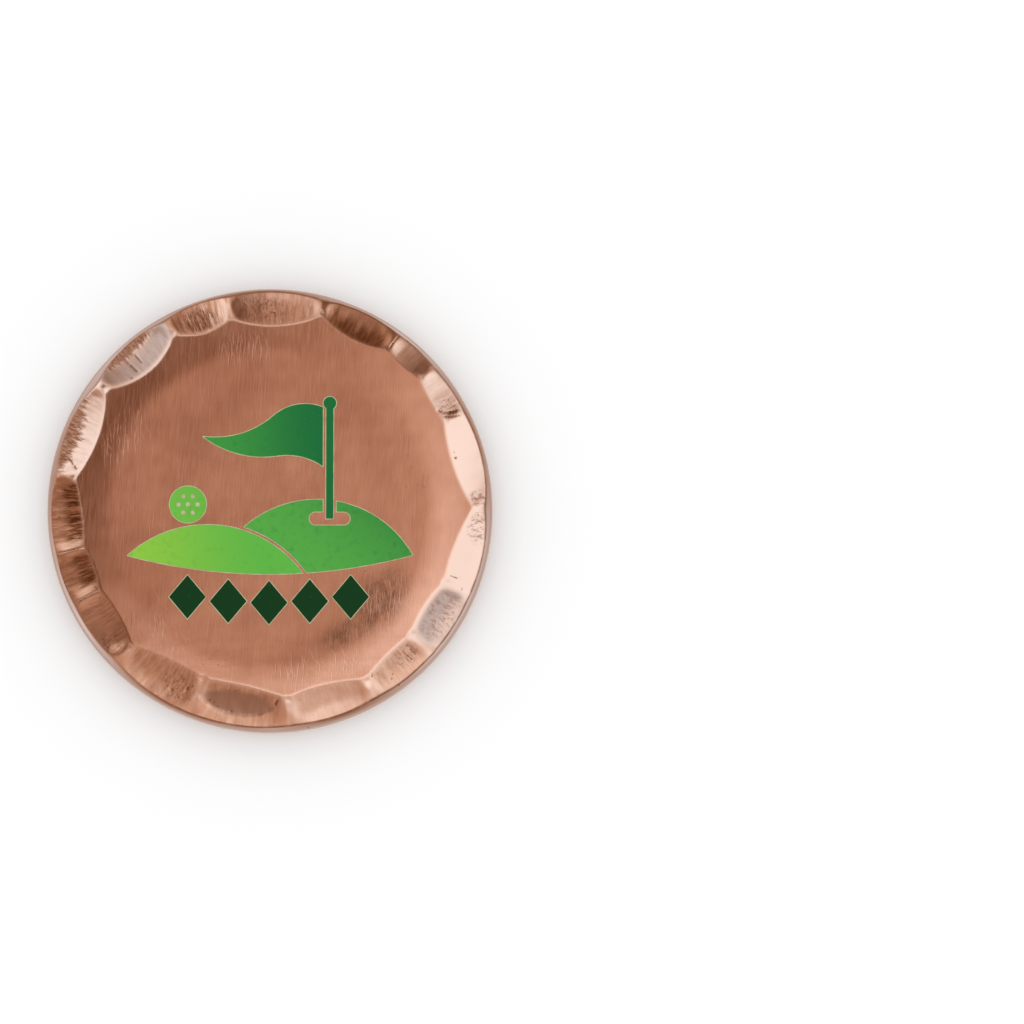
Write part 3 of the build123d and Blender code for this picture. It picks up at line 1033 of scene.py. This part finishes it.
# How bright the ring is towards each azimuth, in degrees.
RING_LIGHTS = [
    (0, 1.01),
    (30, 1.06),
    (40, 0.92),
    (50, 0.56),
    (57, 0.25),
    (63, 0.13),
    (78, 0.13),
    (88, 0.45),
    (98, 0.58),
    (112, 0.60),
    (120, 0.90),
    (128, 1.05),
    (155, 1.05),
    (166, 0.80),
    (178, 0.45),
    (190, 0.22),
    (200, 0.28),
    (208, 0.44),
    (220, 0.50),
    (234, 0.50),
    (262, 0.60),
    (288, 0.70),
    (312, 0.82),
    (328, 0.94),
    (340, 1.04),
    (360, 1.01),
]
# How much brighter or darker than HORIZON it is just below the horizon, by azimuth.
HORIZON_BANDS = [
    (0, 1.35),
    (28, 0.70),
    (60, 1.65),
    (95, 0.60),
    (130, 1.50),
    (165, 0.95),
    (205, 1.70),
    (238, 0.50),
    (268, 1.25),
    (292, 0.60),
    (325, 1.65),
    (360, 1.35),
]
# How the warm dark of the studio turns to white as it brightens.
STUDIO_TONES = [
    (0.00, (0.08, 0.035, 0.015)),
    (0.12, (0.15, 0.072, 0.034)),
    (0.25, (0.27, 0.150, 0.088)),
    (0.55, (0.57, 0.400, 0.310)),
    (0.72, (0.73, 0.640, 0.580)),
    (0.85, (0.86, 0.860, 0.855)),
    (1.00, (1.00, 1.060, 1.100)),
    (1.25, (1.25, 1.330, 1.380)),
]


def aim(azimuth, zenith):
    """The direction with this azimuth and this angle from the zenith, in degrees."""
    a, z = math.radians(azimuth), math.radians(zenith)
    return Vector((math.sin(z) * math.cos(a), math.sin(z) * math.sin(a), math.cos(z)))


def nearness(nodes, toward, azimuth, zenith, full, gone, strength):
    """The given strength within `full` degrees of a direction, fading to 0 at `gone`."""
    dot = nodes.vector("DOT_PRODUCT", toward, aim(azimuth, zenith)[:])
    full, gone = math.cos(math.radians(full)), math.cos(math.radians(gone))
    return nodes.step(dot, gone, full, 0.0, strength)


def ramp(nodes, value, stops):
    """The colour at a value between the given (position, colour) stops."""
    node = nodes.new("ShaderNodeValToRGB")
    elements = node.color_ramp.elements
    while len(elements) < len(stops):
        elements.new(0.5)
    for element, (position, colour) in zip(elements, stops):
        element.position = position
        element.color = (*colour, 1.0)
    nodes.put(node.inputs[0], value)
    return node.outputs[0]


def turn_and_height(nodes, toward):
    """A direction's azimuth as a share of a full turn, and how steeply it points up."""
    split = nodes.new("ShaderNodeSeparateXYZ")
    nodes.put(split.inputs[0], toward)
    azimuth = nodes.math("ARCTAN2", split.outputs["Y"], split.outputs["X"])
    turn = nodes.math("FRACT", nodes.math("DIVIDE", azimuth, 2 * math.pi))
    return turn, split.outputs["Z"]


def ring_light(nodes, toward):
    """The ring of lights round the sky, as a brightness."""
    turn, _ = turn_and_height(nodes, toward)
    stops = [(degrees / 360, (strength,) * 3) for degrees, strength in RING_LIGHTS]
    below_top = nodes.minus(1.0, nearness(nodes, toward, *RING_MIDDLE, *RING_TOP, 1.0))
    above_foot = nearness(nodes, toward, 0, 0, 52, 68, 1.0)
    return nodes.times(ramp(nodes, turn, stops), nodes.times(below_top, above_foot))


def low_light(nodes, toward):
    """The pale light near the horizon and below, banded where an upright wall reflects it."""
    turn, height = turn_and_height(nodes, toward)
    # A ramp's colours stop at 1, so the bands go in at half their strength.
    stops = [(degrees / 360, (share / 2,) * 3) for degrees, share in HORIZON_BANDS]
    bands = nodes.times(ramp(nodes, turn, stops), 2.0)
    below = nodes.minus(nodes.step(height, 0.02, -0.08), nodes.step(height, -0.60, -0.90))
    low = nearness(nodes, toward, 0, 180, 110, 126, HORIZON)
    return nodes.times(low, nodes.blend(below, 1.0, bands))


def studio_light(nodes, toward):
    """The colour that the polished copper sees in each direction."""
    slant = nodes.vector("DOT_PRODUCT", toward, aim(OVERHEAD_AZIMUTH, 90)[:])
    # The sines run from about -0.2 to 0.1, and a ramp's positions from 0 to 1.
    stops = [(sine + 0.5, (strength,) * 3) for sine, strength in OVERHEAD_LIGHT]
    overhead = ramp(nodes, nodes.plus(slant, 0.5), stops)
    brightness = nodes.times(overhead, nearness(nodes, toward, 0, 0, 13, 26, 1.0))
    for lamp in LAMPS:
        brightness = nodes.plus(brightness, nearness(nodes, toward, *lamp))
    low = nodes.plus(low_light(nodes, toward), SURROUND)
    brightness = nodes.highest(brightness, ring_light(nodes, toward), low)
    brightest = STUDIO_TONES[-1][0]
    tones = [(position / brightest, colour) for position, colour in STUDIO_TONES]
    return ramp(nodes, nodes.math("DIVIDE", brightness, brightest), tones)


def studio_world():
    """Soft lights for the copper to reflect, and an even pale light for everything else."""
    world = bpy.data.worlds.new("studio")
    world.use_nodes = True
    bpy.context.scene.world = world
    nodes = Nodes(world.node_tree)
    nodes.tree.nodes.clear()
    toward = nodes.new("ShaderNodeTexCoord").outputs["Generated"]
    even = nodes.new("ShaderNodeBackground")
    even.inputs["Color"].default_value = (1.0, 1.0, 1.0, 1.0)
    even.inputs["Strength"].default_value = EVEN_LIGHT
    studio = nodes.new("ShaderNodeBackground")
    nodes.put(studio.inputs["Color"], studio_light(nodes, toward))
    paths = nodes.new("ShaderNodeLightPath")
    share = nodes.new("ShaderNodeMixShader")
    nodes.put(share.inputs[0], paths.outputs["Is Glossy Ray"])
    nodes.put(share.inputs[1], even.outputs[0])
    nodes.put(share.inputs[2], studio.outputs[0])
    output = nodes.new("ShaderNodeOutputWorld")
    nodes.put(output.inputs["Surface"], share.outputs[0])


CAMERA_ELEVATION = 85.0     # in degrees
LENS = 300.0                # focal length and sensor width, in the camera's millimetres
SENSOR = 36.0
VIEW_WIDTH = 72.85 * MM     # width of the view at the face
DISC_LEFT = 17.27 * MM      # how far left of the view's middle the disc lies
DISC_UP = 0.28 * MM         # and how far above it


def camera():
    """A long lens over the face, a few degrees off square towards the front edge."""
    data = bpy.data.cameras.new("camera")
    data.lens = LENS
    data.sensor_width = SENSOR
    distance = VIEW_WIDTH * LENS / SENSOR
    tilt = math.radians(CAMERA_ELEVATION)
    back = Vector((0.0, -math.cos(tilt), math.sin(tilt)))
    up = Vector((0.0, math.sin(tilt), math.cos(tilt)))
    right = Vector((1.0, 0.0, 0.0))
    eye = Vector((0, 0, FACE_Z)) + back * distance + right * DISC_LEFT - up * DISC_UP
    piece = bpy.data.objects.new("camera", data)
    piece.location = eye
    piece.rotation_mode = "QUATERNION"
    piece.rotation_quaternion = (-back).to_track_quat("-Z", "Y")
    data.clip_start = distance * 0.01
    data.clip_end = distance * 10
    bpy.context.scene.collection.objects.link(piece)
    bpy.context.scene.camera = piece


def main():
    blank = build_blank()
    blank.data.materials.append(copper_material())
    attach(blank, "root")
    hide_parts("copper_blank")
    paint_print()
    floor()
    studio_world()
    camera()
    bpy.context.scene.view_settings.view_transform = "Standard"


main()
